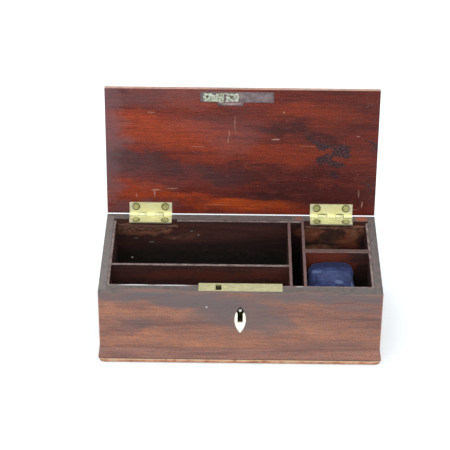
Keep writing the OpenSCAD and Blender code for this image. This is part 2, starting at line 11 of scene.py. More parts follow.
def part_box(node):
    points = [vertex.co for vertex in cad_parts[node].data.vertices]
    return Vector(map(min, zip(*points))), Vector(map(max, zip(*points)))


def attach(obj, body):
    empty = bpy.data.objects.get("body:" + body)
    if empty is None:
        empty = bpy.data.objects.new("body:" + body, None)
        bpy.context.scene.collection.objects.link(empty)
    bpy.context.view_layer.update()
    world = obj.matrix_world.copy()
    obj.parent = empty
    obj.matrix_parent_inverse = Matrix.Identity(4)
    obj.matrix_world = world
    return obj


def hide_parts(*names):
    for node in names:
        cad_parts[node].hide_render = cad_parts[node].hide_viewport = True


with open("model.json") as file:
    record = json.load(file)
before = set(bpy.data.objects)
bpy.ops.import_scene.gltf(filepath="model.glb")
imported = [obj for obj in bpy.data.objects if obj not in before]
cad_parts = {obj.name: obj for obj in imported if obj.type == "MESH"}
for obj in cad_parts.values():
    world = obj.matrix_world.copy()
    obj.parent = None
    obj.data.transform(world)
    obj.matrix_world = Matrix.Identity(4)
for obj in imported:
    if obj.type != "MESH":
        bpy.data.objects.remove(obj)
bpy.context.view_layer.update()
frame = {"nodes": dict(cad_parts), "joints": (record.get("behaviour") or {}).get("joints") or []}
nodes = frame["nodes"]

# ---------- places taken from the frame, in metres unless a name ends in _mm ----------

MM = 0.001


def in_mm(node):
    """The lowest and highest corner of a node at rest, in millimetres."""
    low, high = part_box(node)
    return low / MM, high / MM


hinge = next(joint for joint in frame["joints"] if joint["name"] == "lid_hinge")
AXIS = Vector(hinge["pos_m"])
LID_OPEN = math.radians(hinge["range_deg"][1])

front_low, front_high = in_mm("front_board")
RIM = front_high.z
HALF_W = front_high.x
HALF_D = -front_low.y
IN_X = in_mm("right_end_board")[0].x
FLOOR_TOP = in_mm("bottom_board")[1].z
MOULD_TOP = in_mm("moulding_front")[1].z
LINING_TOP = in_mm("long_divider")[1].z
LINING_CUT = 4.7          # how far the rear lining is cut down behind the hinges
LID_FACE = RIM + 0.15     # inner face of the shut lid
SIDES = ("left", "right")
HINGE_X = [sum(corner.x for corner in in_mm("hinge_" + side + "_body_leaf")) / 2 for side in SIDES]
HINGE_HALF = 19.0         # half of a hinge's length
SCREW_END = 5.8           # from a hinge's end to its screws
SCREW_LINE = HALF_D - 7.3  # the line that the hinges' screws stand on
PLATE_DEPTH = 1.1         # depth of the lid's recess for the strike plate

# the shut lid's own coordinates, turned back by the angle that it stands open
OPENING = Matrix.Translation(AXIS) @ Matrix.Rotation(-LID_OPEN, 4, "X") @ Matrix.Translation(-AXIS)


# ---------- camera, floor and light ----------

def make_camera():
    """A long lens about a metre and a half away, looking down on the box from the front. It aims at a place
    a little aside from and above the middle of the rim; its distances are in metres."""
    height = math.radians(32.84)
    swing = math.radians(-0.35)
    roll = math.radians(0.46)
    away = 1.49586
    aside, above = -0.01385, 0.02415
    level = math.cos(height)
    forward = Vector((math.sin(swing) * level, math.cos(swing) * level, -math.sin(height)))
    right = forward.cross(Vector((0, 0, 1))).normalized()
    up = right.cross(forward)
    camera = bpy.data.objects.new("camera", bpy.data.cameras.new("camera"))
    bpy.context.scene.collection.objects.link(camera)
    level_right = math.cos(roll) * right + math.sin(roll) * up
    level_up = -math.sin(roll) * right + math.cos(roll) * up
    place = Vector((0, 0, RIM * MM)) + right * aside + up * above - forward * away
    camera.matrix_world = Matrix((
        (level_right.x, level_up.x, -forward.x, place.x),
        (level_right.y, level_up.y, -forward.y, place.y),
        (level_right.z, level_up.z, -forward.z, place.z),
        (0, 0, 0, 1)))
    camera.data.sensor_width = 36
    camera.data.lens = 137.7
    camera.data.clip_start = 0.05
    camera.data.clip_end = 60
    bpy.context.scene.camera = camera


def srgb(red, green, blue):
    """A colour given as it looks, 0 to 255 a channel, as the linear values that a shader takes."""
    def linear(level):
        level = level / 255
        return level / 12.92 if level <= 0.04045 else ((level + 0.055) / 1.055) ** 2.4
    return (linear(red), linear(green), linear(blue), 1.0)


class Wire:
    """An output socket of a finish. Sums on wires and numbers add Math nodes."""

    def __init__(self, finish, socket):
        self.finish = finish
        self.socket = socket

    def sum(self, operation, *values):
        return self.finish.add("ShaderNodeMath", {"operation": operation}, dict(enumerate(values)))

    def __add__(self, other):
        return self.sum("ADD", self, other)

    __radd__ = __add__

    def __sub__(self, other):
        return self.sum("SUBTRACT", self, other)

    def __rsub__(self, other):
        return self.sum("SUBTRACT", other, self)

    def __mul__(self, other):
        return self.sum("MULTIPLY", self, other)

    __rmul__ = __mul__

    def __truediv__(self, other):
        return self.sum("DIVIDE", self, other)

    def __abs__(self):
        return self.sum("ABSOLUTE", self)

    def __or__(self, other):
        return self.sum("MAXIMUM", self, other)

    def __and__(self, other):
        return self.sum("MINIMUM", self, other)


class Finish:
    """A material under construction. Its places x, y and z are in millimetres in the row frame;
    on the lid they are those of the shut lid, so that grain and marks lie square to its edges."""

    def __init__(self, name, on_lid=False):
        self.material = bpy.data.materials.new(name)
        self.material.use_nodes = True
        self.tree = self.material.node_tree
        self.shader = self.tree.nodes["Principled BSDF"]
        place = self.add("ShaderNodeTexCoord", out="Object")
        if on_lid:
            place = self.add("ShaderNodeVectorRotate", {"rotation_type": "X_AXIS"},
                             {"Vector": place, "Center": AXIS, "Angle": LID_OPEN})
        place = self.add("ShaderNodeVectorMath", {"operation": "SCALE"}, {0: place, "Scale": 1 / MM})
        split = self.add("ShaderNodeSeparateXYZ", sockets={0: place}).socket.node
        self.x, self.y, self.z = (Wire(self, output) for output in split.outputs)

    def add(self, kind, settings=None, sockets=None, out=0):
        """Any node: its settings first, then the values or links of its sockets."""
        node = self.tree.nodes.new(kind)
        for key, value in (settings or {}).items():
            if key == "stops":
                self.set_stops(node.color_ramp, value)
            else:
                setattr(node, key, value)
        for key, value in (sockets or {}).items():
            self.put(node.inputs[key], value)
        return Wire(self, node.outputs[out])

    def put(self, socket, value):
        if isinstance(value, Wire):
            self.tree.links.new(value.socket, socket)
        else:
            socket.default_value = value

    @staticmethod
    def set_stops(ramp, stops):
        while len(ramp.elements) < len(stops):
            ramp.elements.new(1.0)
        for element, (place, colour) in zip(ramp.elements, stops):
            element.position = place
            element.color = colour

    def point(self, x, y, z):
        return self.add("ShaderNodeCombineXYZ", sockets={0: x, 1: y, 2: z})

    def noise(self, x, y, z, detail=2.0, rough=0.5, bend=0.0):
        """Noise from 0 to 1 whose grain is one unit of the given places."""
        return self.add("ShaderNodeTexNoise", sockets={
            "Vector": self.point(x, y, z), "Scale": 1.0,
            "Detail": detail, "Roughness": rough, "Distortion": bend})

    def fade(self, value, low, high):
        """0 at low and 1 at high, smooth between; low may be the larger one."""
        return self.add("ShaderNodeMapRange", {"interpolation_type": "SMOOTHSTEP"},
                        {"Value": value, "From Min": low, "From Max": high})

    def near_end(self, start, full):
        """0 where a place is start mm inside the case's left or right face, 1 where it is full mm inside."""
        return self.fade(abs(self.x), HALF_W - start, HALF_W - full)

    def near_face(self, start, full):
        """The same for the case's front and back faces."""
        return self.fade(abs(self.y), HALF_D - start, HALF_D - full)

    def run(self, lengthwise):
        """The place along a board and the place across its thickness."""
        return (self.x, self.y) if lengthwise else (self.y, self.x)

    def mix(self, share, first, second, how="MIX"):
        """Colours mixed by share, a number or a wire."""
        return self.add("ShaderNodeMix", {"data_type": "RGBA", "blend_type": how},
                        {0: share, 6: first, 7: second}, out=2)

    def ramp(self, value, *stops):
        return self.add("ShaderNodeValToRGB", {"stops": stops}, {0: value})

    def spot(self, u, v, place, size, ragged=0.0, soft=0.6):
        """1 inside an ellipse in the plane of u and v, 0 outside; the finish's speckle breaks its edge."""
        far_u = (u - place[0]) / size[0]
        far_v = (v - place[1]) / size[1]
        far = far_u * far_u + far_v * far_v
        if ragged:
            far = far + (self.speckle - 0.5) * ragged
        return self.fade(far, 1.0, 1.0 - soft)

    def spots(self, u, v, marks, ragged=0.0, soft=0.6, wander=None):
        """Several ellipses as one mask, each given as place u, place v, half width, half height, strength.
        wander is how far the finish's slow drift and sway bend them, in mm along u and v."""
        mask = 0.0
        if wander:
            u = u + (self.drift - 0.5) * wander[0]
            v = v + (self.sway - 0.5) * wander[1]
        for u0, v0, half_u, half_v, strength in marks:
            here = self.spot(u, v, (u0, v0), (half_u, half_v), ragged, soft) * strength
            mask = here | mask
        return mask

    def bump(self, height, depth_mm, strength=1.0):
        """A normal from a height of 0 to 1 that stands for a depth in millimetres."""
        return self.add("ShaderNodeBump", sockets={
            "Strength": strength, "Distance": depth_mm * MM, "Height": height})

    def set(self, **values):
        """Sets the shader's own sockets; an underscore in a name stands for a space."""
        for name, value in values.items():
            self.put(self.shader.inputs[name.replace("_", " ")], value)
        return self.material


# ---------- wood ----------

class Grain:
    """Mahogany figure with fibres along one axis of the box. All its parts are from 0 to 1, and the numbers
    by which places are multiplied are how many grains there are to a millimetre."""

    def __init__(self, finish, along, across, depth, seed):
        self.speckle = finish.noise(along * 0.16 + seed, across * 0.22, depth * 0.22, detail=4, rough=0.62)
        self.fine = finish.noise(along * 0.75 + seed, across * 1.0, depth * 1.0, detail=2, rough=0.7)
        finish.speckle = self.speckle
        finish.drift = finish.noise(along * 0.018, across * 0.06 + seed, depth * 0.06, detail=1.5)
        finish.sway = finish.noise(along * 0.03, across * 0.05 - seed, depth * 0.05, detail=1.5)
        self.figure = finish.noise(along * 0.008 + seed, across * 0.075, depth * 0.075,
                                   detail=4, rough=0.6, bend=0.6)
        self.fibre = finish.noise(along * 0.035, across * 0.95 + seed, depth * 0.95, detail=3, rough=0.65)
        pores = finish.noise(along * 0.11 + seed, across * 2.6, depth * 2.6, detail=1)
        self.pores = finish.fade(pores, 0.60, 0.72)
        self.streak = finish.noise(along * 0.012, across * 0.36 + seed, depth * 0.36, detail=3, rough=0.6)


def film(finish, grain, colour, veil, share):
    """The dusty, bloomed film of old polish: it lies in patches and leaves the fibres showing."""
    patch = share * (0.75 + 0.5 * grain.fibre)
    return finish.mix(patch & 0.92, colour, veil)


def pored(finish, grain, colour, depth=0.35, fibres=0.6, streaks=0.3):
    """Fibres, long dark streaks and short dark pores laid over a colour."""
    colour = finish.mix(fibres, colour, finish.ramp(
        grain.fibre, (0.25, srgb(112, 105, 108)), (0.5, srgb(186, 186, 186)),
        (0.75, srgb(236, 226, 214))), "OVERLAY")
    colour = finish.mix(0.6, colour, finish.ramp(
        grain.fine, (0.3, srgb(128, 128, 132)), (0.5, srgb(188, 188, 188)),
        (0.7, srgb(236, 230, 222))), "OVERLAY")
    colour = finish.mix(finish.fade(grain.streak, 0.55, 0.30) * streaks, colour, srgb(60, 34, 34))
    return finish.mix(grain.pores * depth, colour, srgb(38, 16, 14))


def case_wood(name, lengthwise, seed, veils, glows, rim_marks=(), rim_tint=srgb(160, 92, 70),
              specks=(), pale_end=False):
    """Outside boards of the case, with old polish on the face and bare grey wood on the rim."""
    finish = Finish(name)
    along, across = finish.run(lengthwise)
    grain = Grain(finish, along, finish.z, across, seed)
    height = finish.z
    body = finish.ramp(grain.figure,
                       (0.30, srgb(101, 62, 52)), (0.46, srgb(134, 84, 67)),
                       (0.58, srgb(144, 93, 71)), (0.74, srgb(164, 103, 73)))
    glow = finish.spots(along, height, glows, ragged=0.6, soft=1.0, wander=(90, 22))
    body = finish.mix(glow * 0.55, body, srgb(174, 112, 80))
    body = pored(finish, grain, body, fibres=0.45, streaks=0.22)
    veil = finish.spots(along, height, veils, ragged=0.6, soft=1.0, wander=(90, 20))
    veil = veil * (0.6 + 0.3 * grain.fine + 0.4 * grain.fibre) | 0.30 * finish.fade(grain.speckle, 0.36, 0.75)
    body = film(finish, grain, body, srgb(92, 84, 86), veil)
    edge = finish.near_end(1.6, 0.2) & finish.near_face(1.6, 0.2)
    arris = finish.fade(height, RIM - 1.4, RIM - 0.3)
    worn = (edge * 0.8 | arris * 0.4) * finish.fade(grain.speckle, 0.38, 0.58)
    body = finish.mix(worn * 0.7, body, srgb(168, 112, 92))
    bare = finish.ramp(grain.speckle,
                       (0.3, srgb(88, 82, 80)), (0.5, srgb(112, 105, 102)), (0.7, srgb(126, 104, 98)))
    bare = finish.mix(grain.pores * 0.4, bare, srgb(70, 60, 58))
    bare = finish.mix(0.35, bare, finish.ramp(
        grain.fibre, (0.3, srgb(90, 84, 84)), (0.7, srgb(190, 184, 178))), "OVERLAY")
    if pale_end:
        bare = finish.mix(finish.fade(finish.x, 0, -HALF_W) * 0.2, bare, srgb(164, 158, 154))
    if rim_marks:
        ruddy = finish.spots(finish.x, finish.y, rim_marks, ragged=1.6, soft=1.0)
        bare = finish.mix(ruddy, bare, rim_tint)
    inside = finish.near_end(1, 2) & finish.near_face(1, 2)
    inside = inside & finish.fade(height, MOULD_TOP - 4, MOULD_TOP - 2)
    body = finish.mix(inside * 0.85, body, srgb(58, 34, 30))
    if specks:
        body = finish.mix(finish.spots(along, height, specks, soft=0.4), body, srgb(214, 216, 214))
    on_rim = finish.fade(height, RIM - 0.45, RIM - 0.15)
    colour = finish.mix(on_rim, body, bare)
    rough = 0.36 + 0.16 * veil + 0.10 * grain.speckle
    return finish.set(
        Base_Color=colour, Roughness=rough | on_rim * 0.7,
        Normal=finish.bump(grain.fibre * 0.5 - grain.pores * 0.5 + grain.speckle * 0.4, 0.14))


def moulding_wood(name, lengthwise, seed):
    """The base moulding: painted shade in the hollow and a painted shadow line along its foot."""
    finish = Finish(name)
    along, across = finish.run(lengthwise)
    grain = Grain(finish, along, finish.z, across, seed)
    body = finish.ramp(grain.figure,
                       (0.3, srgb(108, 66, 58)), (0.5, srgb(146, 94, 78)), (0.72, srgb(168, 110, 82)))
    body = pored(finish, grain, body)
    body = film(finish, grain, body, srgb(124, 102, 94), 0.12 + 0.3 * finish.fade(grain.speckle, 0.4, 0.7))
    # painted shade in the cove under the moulding's top, and a painted shadow line along its foot
    darkening = 0.4 * finish.fade(finish.z, MOULD_TOP - 1.2, MOULD_TOP - 0.2)
    darkening = darkening | finish.fade(finish.z, FLOOR_TOP + 1.1, FLOOR_TOP + 0.2)
    body = finish.mix(darkening * 0.55, body, srgb(58, 38, 36))
    return finish.set(
        Base_Color=body, Roughness=0.34 + 0.16 * grain.speckle,
        Normal=finish.bump(grain.fibre * 0.5 + grain.speckle * 0.5, 0.12))


def base_wood():
    """The bottom board: a rubbed pale edge, a dark stained inside and a raw underside."""
    finish = Finish("base_board")
    grain = Grain(finish, finish.x, finish.y, finish.z, 7.3)
    edge = finish.ramp(grain.speckle, (0.32, srgb(150, 96, 66)), (0.48, srgb(196, 130, 92)),
                       (0.62, srgb(206, 160, 124)), (0.75, srgb(184, 168, 140)))
    edge = finish.mix(0.6, edge, finish.ramp(
        grain.fibre, (0.3, srgb(120, 110, 100)), (0.7, srgb(210, 200, 190))), "OVERLAY")
    rubbed = finish.fade(finish.z, FLOOR_TOP - 2.2, FLOOR_TOP - 1.2) * finish.fade(grain.speckle, 0.3, 0.5)
    edge = finish.mix(rubbed * 0.75, edge, srgb(206, 176, 146))
    # painted shadow: a dark band along the top of the edge, in the gap under the moulding
    edge = finish.mix(finish.fade(finish.z, FLOOR_TOP - 0.6, FLOOR_TOP - 0.1) * 0.75, edge, srgb(62, 42, 38))
    raw = finish.ramp(grain.figure,
                      (0.3, srgb(96, 66, 46)), (0.5, srgb(128, 90, 62)), (0.7, srgb(150, 108, 76)))
    raw = finish.mix(grain.pores * 0.5, raw, srgb(60, 40, 30))
    raw = finish.mix(finish.fade(grain.speckle, 0.52, 0.7) * 0.6, raw, srgb(84, 60, 46))
    under = finish.fade(finish.z, 1.3, 0.3)
    edge = finish.mix(under, edge, raw)
    inside = (finish.fade(abs(finish.x), IN_X + 1.5, IN_X) & finish.near_face(5, 8)
              & finish.fade(finish.z, FLOOR_TOP - 1.5, FLOOR_TOP - 0.5))
    dark = finish.ramp(grain.speckle, (0.35, srgb(34, 22, 20)), (0.7, srgb(62, 42, 36)))
    colour = finish.mix(inside, edge, dark)
    return finish.set(
        Base_Color=colour, Roughness=0.5 + 0.2 * grain.speckle,
        Normal=finish.bump(grain.fibre * 0.6 - grain.pores * 0.6 + grain.speckle * 0.3, 0.16))


def lining_wood(name, lengthwise, seed, raw_marks=(), glow_marks=(), crumbs=(), cast_shadow_marks=(),
                chalk_marks=(), ruddy=srgb(112, 82, 80), pink=0.0):
    """Thin inside boards: dark stained, nearly black low down with painted shade, with painted light and
    shadows, pale along their worn tops.
    """
    finish = Finish(name)
    along, across = finish.run(lengthwise)
    grain = Grain(finish, along, finish.z, across, seed)
    height = finish.z
    lit = finish.ramp(grain.figure,
                      (0.32, srgb(42, 22, 22)), (0.5, srgb(62, 33, 29)), (0.7, srgb(86, 43, 35)))
    lit = pored(finish, grain, lit, 0.5)
    # painted shade: the boards fade to near-black from about 66 mm down to 40 mm, deep in the compartments
    shade_below = finish.ramp(grain.speckle, (0.35, srgb(17, 16, 15)), (0.65, srgb(33, 27, 25)))
    low = finish.fade(height + 16 * grain.speckle, 66, 40)
    colour = finish.mix(low * 0.92, lit, shade_below)
    if glow_marks:
        glow = finish.spots(along, height, glow_marks, ragged=1.4, soft=1.0, wander=(24, 14))
        colour = finish.mix(glow * 0.85, colour, srgb(128, 52, 30))
    if raw_marks:
        torn = finish.spots(along, height, raw_marks, ragged=2.6, soft=0.8, wander=(30, 20))
        raw = finish.ramp(grain.speckle,
                          (0.32, srgb(92, 50, 36)), (0.5, srgb(148, 92, 66)), (0.68, srgb(176, 132, 100)))
        colour = finish.mix(torn * (0.45 + 0.8 * grain.speckle), colour, raw)
    if crumbs:
        colour = finish.mix(finish.spots(along, height, crumbs, soft=0.3), colour, srgb(214, 212, 200))
    if cast_shadow_marks:
        # painted shadow: near-black marks where the lid and its hinges cast shadow, and painted shade in
        # corners
        cast_shadow = finish.spots(along, height, cast_shadow_marks, ragged=1.4, wander=(20, 10))
        colour = finish.mix(cast_shadow, colour, srgb(26, 22, 26))
    arris = finish.fade(height, LINING_TOP - 0.55, LINING_TOP - 0.2)
    pale = finish.ramp(grain.speckle,
                       (0.33, srgb(112, 94, 90)), (0.5, srgb(150, 136, 132)), (0.68, srgb(176, 164, 160)))
    colour = finish.mix(arris * (1 - 0.3 * pink), colour, pale)
    top = finish.fade(height, LINING_TOP - 0.12, LINING_TOP - 0.04)
    brown = finish.ramp(grain.speckle,
                        (0.33, srgb(92, 74, 70)), (0.5, srgb(128, 110, 106)), (0.68, srgb(156, 140, 136)))
    colour = finish.mix(top, colour, finish.mix(pink, brown, ruddy))
    if chalk_marks:
        chalk = finish.spots(along, across + HALF_D - 9, chalk_marks, ragged=1.2)
        chalk = chalk & finish.fade(height, LINING_TOP - 0.7, LINING_TOP - 0.3)
        colour = finish.mix(chalk, colour, srgb(216, 218, 222))
    return finish.set(
        Base_Color=colour, Roughness=0.46 + 0.24 * grain.speckle,
        Normal=finish.bump(grain.fibre * 0.5 - grain.pores * 0.4 + grain.speckle * 0.6, 0.16))


# marks on the lid's inner face: place along, distance from its front edge, half sizes, strength
LID_GLOWS = [
    (-62, 47, 76, 20, 1.0), (20, 56, 70, 14, 0.7), (-88, 104, 44, 11, 1.0), (-10, 114, 72, 9, 1.0),
    (62, 16, 58, 14, 0.8), (70, 56, 66, 14, 0.8), (-60, 14, 60, 12, 0.4)]
LID_SHADES = [
    (-90, 79, 56, 13, 1.0), (-10, 82, 70, 13, 0.95), (50, 36, 64, 7, 1.0), (66, 76, 70, 9, 0.7),
    (70, 94, 80, 16, 1.0), (-96, 18, 40, 10, 0.4), (-20, 24, 40, 10, 0.4)]
LID_VEILS = [
    (-124, 44, 30, 90, 0.6), (-104, 8, 50, 16, 0.3), (-92, 116, 40, 12, 0.4), (-20, 34, 54, 20, 0.18),
    (-60, 6, 64, 10, 0.3), (-6, 44, 20, 26, 0.25), (-104, 76, 44, 20, 0.22), (-60, 84, 80, 18, 0.15)]
LID_STAINS = [
    (70, 52, 10, 7, 0.8), (83, 58, 11, 9, 1.0), (77, 68, 10, 9, 0.9), (88, 72, 9, 8, 0.6),
    (62, 48, 9, 5, 0.5), (82, 84, 10, 6, 0.4), (112, 56, 7, 10, 0.45), (110, 94, 8, 8, 0.35)]
LID_SCRATCHES = [
    (-77, 98, 5.5, 0.9, 0.8), (-78, 102, 1.0, 6, 0.55), (-62, 96, 8, 0.5, 0.6), (-80, 23, 5, 0.6, 0.45),
    (-12, 45, 0.6, 7, 0.5), (-6, 33, 0.6, 12, 0.25), (29, 47, 5, 0.8, 0.7), (36, 22, 1.2, 1.2, 0.5),
    (102, 45, 2, 0.7, 0.4), (108, 112, 0.7, 4, 0.5), (-36, 55, 9, 0.4, 0.35), (-94, 103, 0.6, 3, 0.5),
    (58, 54, 8, 0.35, 0.35), (104, 100, 0.7, 6, 0.3), (96, 116, 12, 0.6, 0.35), (-20, 113, 12, 0.4, 0.3)]


def lid_wood():
    """The lid: red mahogany with dark figure, an ink stain, scratches and bloom inside, polish outside."""
    finish = Finish("lid_mahogany", on_lid=True)
    x = finish.x
    away = finish.y + HALF_D
    grain = Grain(finish, x, finish.y, finish.z * 0.6, 3.7)
    bands = away - 0.08 * x + 26 * (grain.figure - 0.5)
    body = finish.ramp(finish.noise(bands * 0.075, x * 0.0035, 4.0, detail=2, rough=0.55),
                       (0.28, srgb(76, 34, 32)), (0.42, srgb(104, 40, 31)), (0.56, srgb(122, 46, 32)),
                       (0.72, srgb(136, 56, 33)))
    slant = away - 0.09 * x
    glow = finish.spots(x, slant, LID_GLOWS, ragged=1.3, soft=1.0, wander=(60, 26))
    body = finish.mix(glow * 0.75, body, srgb(156, 60, 28))
    strip = finish.spots(x, away, [(8, 112, 54, 6, 1.0), (-62, 104, 20, 4, 0.4)],
                         ragged=0.8, soft=1.0, wander=(30, 10))
    shade = finish.spots(x, slant, LID_SHADES, ragged=1.4, soft=1.0, wander=(60, 26))
    body = finish.mix(shade * 0.8, body, srgb(60, 31, 33))
    body = finish.mix(strip * 0.85, body, srgb(186, 78, 30))
    body = finish.mix(finish.fade(x, -30, 100) * 0.46, body, srgb(70, 20, 13))
    body = pored(finish, grain, body, 0.4, fibres=0.55, streaks=0.3)
    plain = body
    crust = finish.noise(x * 0.42, away * 0.42, 6.0, detail=4, rough=0.75)
    stain = finish.spots(x, away, LID_STAINS, ragged=3.0, soft=1.0, wander=(30, 30))
    stain = finish.fade(stain * 0.6 + crust, 0.60, 0.84)
    body = finish.mix(stain * 0.8, body, finish.ramp(
        grain.fine, (0.35, srgb(18, 18, 26)), (0.55, srgb(40, 34, 42)), (0.7, srgb(96, 90, 92))))
    veil = finish.spots(x, away, LID_VEILS, ragged=1.3, soft=1.0, wander=(40, 26))
    veil = veil * (0.55 + 0.9 * grain.speckle) | 0.05 * finish.fade(grain.speckle, 0.45, 0.7)
    inner = film(finish, grain, body, srgb(112, 88, 92), veil)
    scratch = finish.spots(x, away, LID_SCRATCHES, ragged=2.6, soft=1.0, wander=(6, 6))
    inner = finish.mix(scratch, inner, srgb(196, 150, 132))
    line = finish.noise(x * 0.05 + away * 0.02, away * 1.5, 9.0, detail=1)
    inner = finish.mix(finish.fade(line, 0.68, 0.76) * 0.25, inner, srgb(190, 110, 84))
    dot = finish.noise(x * 0.8, away * 0.8, 2.0, detail=1)
    inner = finish.mix(finish.fade(dot, 0.72, 0.78) * 0.5, inner, srgb(190, 150, 140))
    bloom = 0.12 + 0.28 * finish.fade(finish.drift, 0.38, 0.72) + 0.14 * grain.speckle
    outer = film(finish, grain, plain, srgb(112, 88, 84), bloom)
    edge = finish.near_end(2.4, 0.4) | finish.near_face(2.4, 0.4)
    outer = finish.mix(edge * finish.fade(grain.speckle, 0.36, 0.6) * 0.55, outer, srgb(188, 120, 96))
    outside = finish.fade(finish.z, LID_FACE + 0.3, LID_FACE + 0.9)
    colour = finish.mix(outside, inner, outer)
    # painted highlight along the worn front edge of the lid, where light from above catches it
    lit_front_edge = finish.fade(finish.y, -HALF_D + 0.5, -HALF_D + 0.1)
    colour = finish.mix(lit_front_edge * (0.3 + 0.7 * grain.speckle), colour, srgb(206, 168, 150))
    deep = finish.fade(finish.z, LID_FACE + 0.35, LID_FACE + 0.6)
    cut = deep & finish.fade(finish.z, LID_FACE + PLATE_DEPTH + 0.2, LID_FACE + PLATE_DEPTH + 0.05)
    in_recess = finish.spot(x, away, (-6, 9), (42, 11), soft=0.1)
    bare = finish.ramp(grain.speckle,
                       (0.34, srgb(98, 84, 86)), (0.5, srgb(124, 108, 110)), (0.68, srgb(140, 124, 122)))
    colour = finish.mix(cut * in_recess, colour, bare)
    return finish.set(
        Base_Color=colour, Roughness=0.34 + 0.20 * veil + 0.12 * grain.speckle,
        Normal=finish.bump(grain.fibre * 0.5 - grain.pores * 0.5 + grain.speckle * 0.5 - scratch * 0.5, 0.15),
        Specular_IOR_Level=0.18)


def torn_wood(name, on_lid, dark, middle, light):
    """Split wood whose fibres run along the box."""
    finish = Finish(name, on_lid)
    across = finish.y if on_lid else finish.z
    grain = Grain(finish, finish.x, across, finish.z, 1.9)
    streak = finish.noise(finish.x * 0.25, across * 2.2, finish.z * 1.1, detail=3, rough=0.65)
    colour = finish.ramp(streak, (0.34, dark), (0.5, middle), (0.66, light))
    return finish.set(Base_Color=colour, Roughness=0.72 + 0.1 * grain.speckle,
                      Normal=finish.bump(streak, 0.4))


# ---------- metal, bone and velvet ----------

def brass(name, on_lid, bright, dull, darkening, screws=(), rims=(), cuts=(), ends=(),
          rough=0.32, metallic=0.6):
    """Lacquered brass with dull patches: dirt lies round screws, painted shade with some dirt darkens the
    gaps at the rims of their heads and in the cuts of knuckles, and ends are rubbed pale."""
    finish = Finish(name, on_lid)
    patch = finish.noise(finish.x * 0.16, finish.y * 0.3, finish.z * 0.3, detail=4, rough=0.6)
    brushed = finish.noise(finish.x * 0.25, finish.y * 4.5, finish.z * 4.5, detail=2)
    fleck = finish.noise(finish.x * 1.3, finish.y * 1.3, finish.z * 1.3, detail=3, rough=0.7)
    finish.speckle = fleck
    colour = finish.mix(finish.fade(patch, 0.36, 0.66), bright, dull)
    colour = finish.mix(finish.fade(fleck, 0.60, 0.74) * 0.6, colour, darkening)
    if screws:
        dull_ring = finish.spots(finish.x, finish.y, [(x, y, 5.2, 4.6, 0.5) for x, y in screws],
                                 ragged=1.2, soft=0.7)
        colour = finish.mix(dull_ring, colour, darkening)
        # painted shade, with some dirt, in the gap round each screw head
        gap_shade_ring = finish.spots(finish.x, finish.y, [(x, y, 3.9, 3.9, 0.9) for x, y in screws],
                            ragged=0.5, soft=0.2)
        colour = finish.mix(gap_shade_ring, colour, srgb(78, 74, 44))
    if rims:
        # painted shade, with some dirt, on the rim of each screw head where it meets its countersink
        head = finish.spots(finish.x, finish.y, [(x, y, 3.1, 3.1, 1.0) for x, y in rims], soft=0.55)
        colour = finish.mix((1 - head) * 0.85, colour, srgb(98, 96, 58))
    if ends:
        pale = finish.spots(finish.x, finish.y, ends, ragged=0.8, soft=0.9)
        colour = finish.mix(pale, colour, srgb(240, 234, 206))
    if cuts:
        # painted shade, with some dirt, in the gaps between knuckles
        gap_shade_and_dirt = finish.spots(finish.x, finish.y, cuts, ragged=0.4, soft=0.5)
        colour = finish.mix(gap_shade_and_dirt, colour, srgb(52, 46, 26))
    return finish.set(
        Base_Color=colour, Metallic=metallic, Roughness=rough + 0.16 * patch + 0.10 * brushed,
        Normal=finish.bump(brushed * 0.5 + fleck * 0.5, 0.05))


def dull_metal(name, on_lid, light, dark, rust, rough=0.42, metallic=0.85):
    """Bare steel, iron or tinned plate with dark pits."""
    finish = Finish(name, on_lid)
    patch = finish.noise(finish.x * 0.5, finish.y * 0.5, finish.z * 0.5, detail=4, rough=0.65)
    pits = finish.noise(finish.x * 2.4, finish.y * 2.4, finish.z * 2.4, detail=2, rough=0.6)
    colour = finish.mix(finish.fade(patch, 0.42, 0.62), light, dark)
    colour = finish.mix(finish.fade(pits, 0.58, 0.7) * 0.7, colour, rust)
    return finish.set(
        Base_Color=colour, Metallic=metallic, Roughness=rough + 0.25 * patch,
        Normal=finish.bump(patch * 0.6 + pits * 0.4, 0.12))


def bone():
    """Bone inlay: cream, with fine upright pores."""
    finish = Finish("bone_inlay")
    pores = finish.noise(finish.x * 3.2, finish.y * 3.2, finish.z * 0.32, detail=2)
    tone = finish.noise(finish.x * 0.3, finish.y * 0.3, finish.z * 0.12, detail=2)
    colour = finish.ramp(tone, (0.35, srgb(250, 244, 220)), (0.65, srgb(255, 251, 238)))
    colour = finish.mix(finish.fade(pores, 0.60, 0.70) * 0.5, colour, srgb(196, 172, 130))
    return finish.set(Base_Color=colour, Roughness=0.32 + 0.14 * pores, Coat_Weight=0.2,
                      Normal=finish.bump(pores, 0.05))


